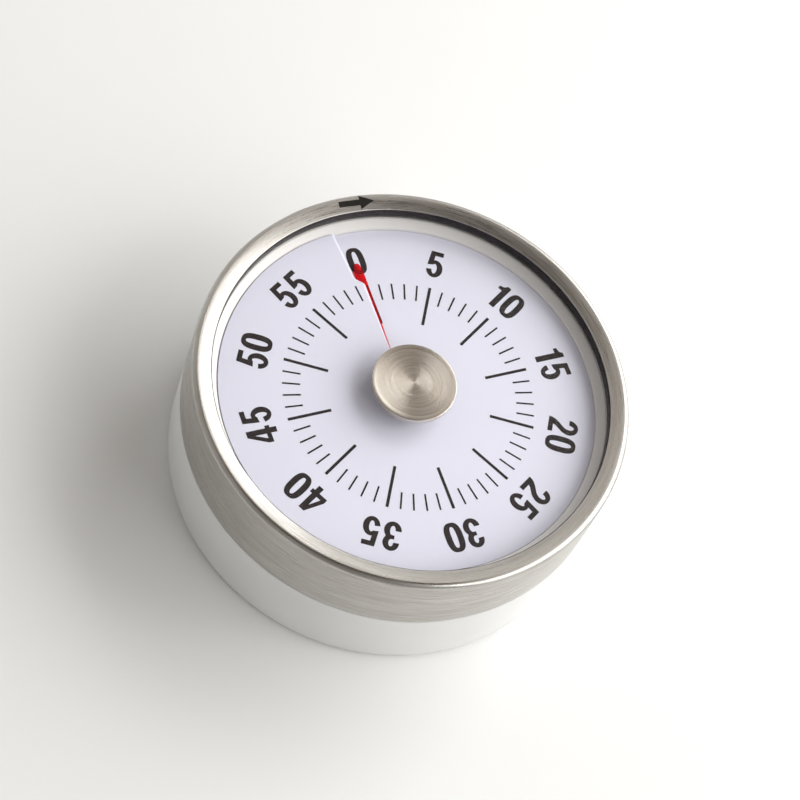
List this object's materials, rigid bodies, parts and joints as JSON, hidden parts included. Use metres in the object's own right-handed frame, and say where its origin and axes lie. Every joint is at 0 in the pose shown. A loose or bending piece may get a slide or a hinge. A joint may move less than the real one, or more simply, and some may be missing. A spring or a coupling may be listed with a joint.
{
  "type": "kitchen timer",
  "caption": "Round wind-up kitchen timer with a brushed steel turning ring, a clear window, a minute dial with a red film pointer and a white magnetic base.",
  "frame": {"origin": "centre of the flat back, where the timer rests on a table", "axes": "+Z out of the dial face along the main arbor, +Y towards the dial's zero mark, +X towards the 15 minute mark"},
  "size_m": [0.078, 0.078, 0.0304],
  "materials": {
    "white_plastic": "satin",
    "dial_white": "matte",
    "red_film": "gloss",
    "clear_window": "gloss",
    "brushed_steel": "brushed",
    "arbor_steel": "polished",
    "spring_steel": "blued",
    "brass": "satin",
    "bell_metal": "polished",
    "ferrite": "matte"
  },
  "bodies": {
    "base": {"base_housing": "white_plastic", "back_cover": "white_plastic", "back_magnet_1": "ferrite", "back_magnet_2": "ferrite", "back_magnet_3": "ferrite", "cover_screw_1": "arbor_steel", "cover_screw_2": "arbor_steel", "cover_screw_3": "arbor_steel", "dial_carrier": "white_plastic", "dial": "dial_white", "front_plate": "brass", "back_plate": "brass", "pillar_1": "brass", "pillar_2": "brass", "pillar_3": "brass", "plate_screw_1": "arbor_steel", "plate_screw_2": "arbor_steel", "plate_screw_3": "arbor_steel", "movement_screw_1": "arbor_steel", "movement_screw_2": "arbor_steel", "movement_screw_3": "arbor_steel", "mainspring": "spring_steel", "spring_post": "arbor_steel", "hammer_spring": "spring_steel", "bell": "bell_metal", "bell_post": "arbor_steel", "bell_screw": "arbor_steel", "release_pivot": "arbor_steel", "release_spring": "spring_steel"},
    "winder": {"steel_ring": "brushed_steel", "ring_sleeve": "white_plastic", "window": "clear_window", "centre_knob": "brushed_steel", "main_arbor": "arbor_steel", "main_wheel": "brass", "clutch_spring": "spring_steel", "release_cam": "brass"},
    "film": {"time_film": "red_film", "film_hub": "white_plastic"},
    "second_wheel_set": {"second_arbor": "arbor_steel", "second_wheel": "brass"},
    "third_wheel_set": {"third_arbor": "arbor_steel", "third_wheel": "brass"},
    "escape_wheel_set": {"escape_arbor": "arbor_steel", "escape_wheel": "brass"},
    "pallet_set": {"pallet_arbor": "arbor_steel", "pallet_lever": "arbor_steel", "balance_bar": "brass"},
    "strike_wheel_set": {"strike_arbor": "arbor_steel", "strike_wheel": "arbor_steel"},
    "hammer_set": {"hammer_arbor": "arbor_steel", "hammer_tail": "arbor_steel", "hammer_arm": "arbor_steel", "hammer_head": "brass"},
    "release_lever_set": {"release_lever": "arbor_steel"}
  },
  "joints": [
    {"name": "winder_turn", "type": "hinge", "parent": "base", "child": "winder", "pos_m": [0, 0, 0.022], "axis": [0, 0, -1], "range_deg": [0, 360]},
    {"name": "film_lift", "type": "slide", "parent": "winder", "child": "film", "axis": [0, 0, 1], "range_m": [0, 0.0011]},
    {"name": "second_wheel_spin", "type": "hinge", "parent": "base", "child": "second_wheel_set", "pos_m": [0, -0.01575, 0.014], "axis": [0, 0, -1], "range_deg": [-2160, 0]},
    {"name": "third_wheel_spin", "type": "hinge", "parent": "base", "child": "third_wheel_set", "pos_m": [0.01189, -0.01158, 0.014], "axis": [0, 0, -1], "range_deg": [0, 12960]},
    {"name": "escape_wheel_spin", "type": "hinge", "parent": "base", "child": "escape_wheel_set", "pos_m": [0.01631, -0.00306, 0.014], "axis": [0, 0, -1], "range_deg": [-64800, 0]},
    {"name": "strike_wheel_spin", "type": "hinge", "parent": "base", "child": "strike_wheel_set", "pos_m": [-0.01114, 0.01114, 0.014], "axis": [0, 0, -1], "range_deg": [-2160, 0]},
    {"name": "pallet_rock", "type": "hinge", "parent": "base", "child": "pallet_set", "pos_m": [0.01582, 0.00502, 0.014], "axis": [0, 0, 1], "range_deg": [-5, 5]},
    {"name": "hammer_swing", "type": "hinge", "parent": "base", "child": "hammer_set", "pos_m": [-0.01961, 0.00917, 0.014], "axis": [0, 0, 1], "range_deg": [0, 8], "stiffness_Nm_per_rad": 0.002},
    {"name": "release_lift", "type": "hinge", "parent": "base", "child": "release_lever_set", "pos_m": [-0.01753, 0.00309, 0.0215], "axis": [0, 0, 1], "range_deg": [0, 8], "stiffness_Nm_per_rad": 0.005}
  ],
  "couplings": [
    {"joint": "film_lift", "follows": "winder_turn", "m_per_rad": 0.00017507},
    {"joint": "second_wheel_spin", "follows": "winder_turn", "ratio": -6},
    {"joint": "third_wheel_spin", "follows": "winder_turn", "ratio": 36},
    {"joint": "escape_wheel_spin", "follows": "winder_turn", "ratio": -180},
    {"joint": "strike_wheel_spin", "follows": "winder_turn", "ratio": -6}
  ]
}
